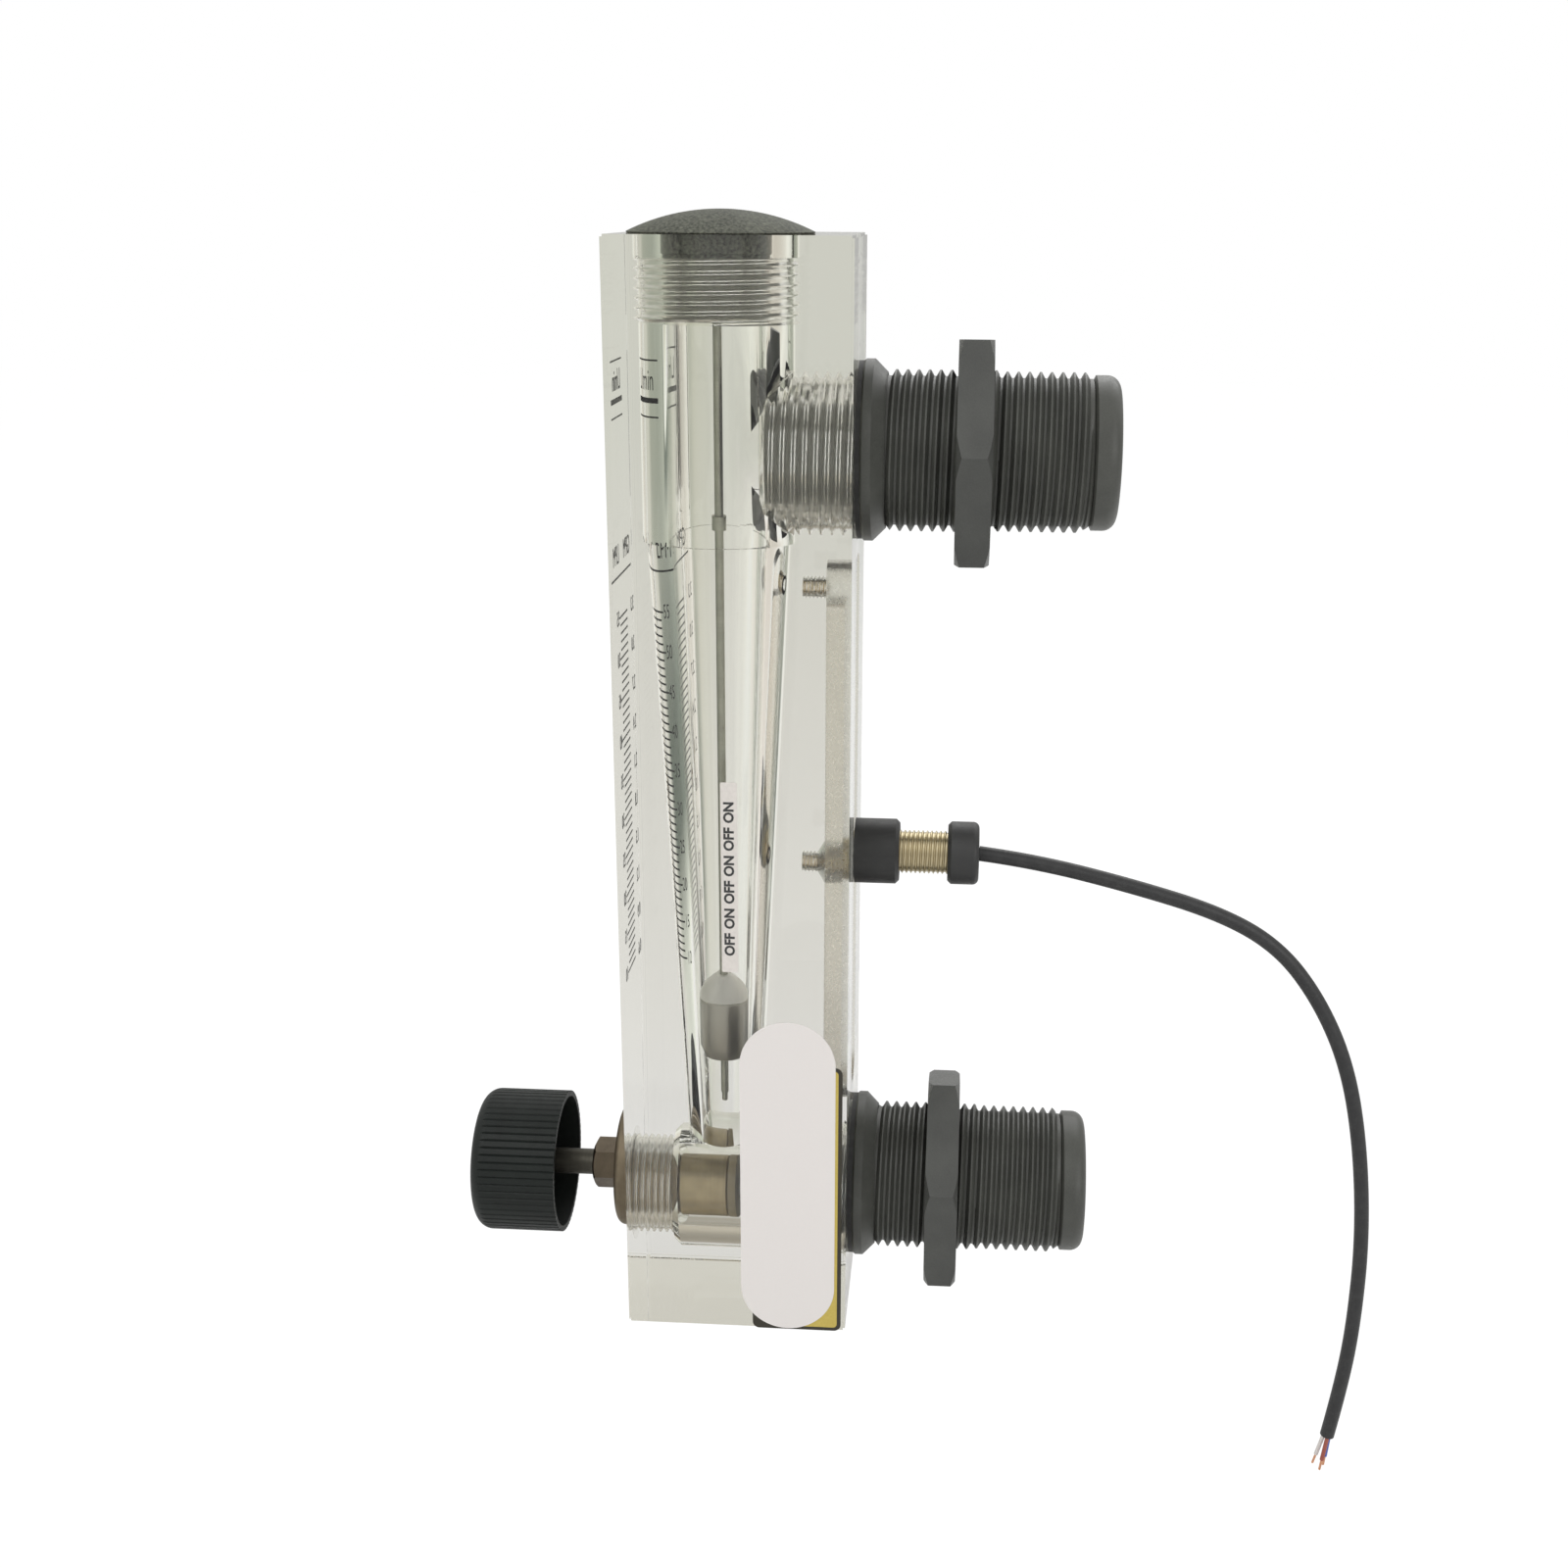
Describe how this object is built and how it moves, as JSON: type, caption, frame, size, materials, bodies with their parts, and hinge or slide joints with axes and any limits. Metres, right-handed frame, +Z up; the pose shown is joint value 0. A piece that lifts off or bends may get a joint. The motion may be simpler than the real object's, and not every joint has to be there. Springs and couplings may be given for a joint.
{
  "type": "rotameter",
  "caption": "Clear block rotameter with tapered bore and guided float, control valve with knob, threaded pipe nipples and a float alarm switch with cable.",
  "frame": {"origin": "on the inlet nipple's axis, half way along the thread that the lock nut leaves free", "axes": "+Z up along the float bore, +Y to the back where the pipes join, X across the block"},
  "size_m": [0.053, 0.2106, 0.2944],
  "materials": {
    "acrylic": "clear polished acrylic",
    "plug_plastic": "textured grey plastic",
    "nipple_plastic": "dark grey plastic",
    "nut_plastic": "dark grey plastic",
    "knob_plastic": "black plastic",
    "sensor_plastic": "black plastic",
    "seal_rubber": "black rubber",
    "steel": "turned stainless steel",
    "float_steel": "turned stainless steel",
    "magnet": "sintered magnet",
    "valve_metal": "dull plated brass",
    "gland_metal": "dark plated brass",
    "stem_metal": "dark steel",
    "disc_metal": "turned brass",
    "strip_plastic": "pale beige plastic",
    "insert_brass": "knurled brass",
    "sensor_brass": "ribbed brass",
    "reed_glass": "clear glass",
    "potting": "black resin",
    "cable_sheath": "black cable sheath",
    "lead_brown": "brown lead",
    "lead_blue": "blue lead",
    "lead_white": "pale lead"
  },
  "bodies": {
    "meter": {"block_left": "acrylic", "block_right": "acrylic", "top_plug": "plug_plastic", "top_plug_seal": "seal_rubber", "guide_rod": "steel", "rod_top_stop": "steel", "rod_low_stop": "steel", "outlet_nipple": "nipple_plastic", "outlet_seal": "seal_rubber", "outlet_lock_nut": "nut_plastic", "inlet_nipple": "nipple_plastic", "inlet_seal": "seal_rubber", "inlet_lock_nut": "nut_plastic", "valve_bonnet": "valve_metal", "bonnet_seal": "seal_rubber", "gland_nut": "gland_metal", "stem_packing": "seal_rubber", "channel_strip": "strip_plastic", "insert_lower": "insert_brass", "insert_upper": "insert_brass", "sensor_barrel": "sensor_brass", "sensor_nut": "sensor_plastic", "sensor_cap": "sensor_plastic", "reed_switch": "reed_glass", "switch_potting": "potting", "sensor_cable": "cable_sheath", "lead_brown": "lead_brown", "lead_blue": "lead_blue", "lead_white": "lead_white"},
    "float": {"float_body": "float_steel", "float_magnet": "magnet", "float_cap": "float_steel"},
    "disc": {"valve_disc": "disc_metal", "disc_seal": "seal_rubber", "seal_screw": "steel", "swivel_pin": "steel"},
    "knob": {"control_knob": "knob_plastic", "valve_stem": "stem_metal"}
  },
  "joints": [
    {"name": "float_lift", "type": "slide", "parent": "meter", "child": "float", "axis": [0, 0, 1], "range_m": [0, 0.1013]},
    {"name": "disc_travel", "type": "slide", "parent": "meter", "child": "disc", "axis": [0, 1, 0], "range_m": [-0.0009, 0.0075]},
    {"name": "knob_turn", "type": "hinge", "parent": "disc", "child": "knob", "pos_m": [0, -0.1, 0], "axis": [0, 1, 0], "range_deg": [-216.5, 1800.5]}
  ],
  "couplings": [
    {"joint": "knob_turn", "follows": "disc_travel", "rad_per_m": 4188.8}
  ]
}
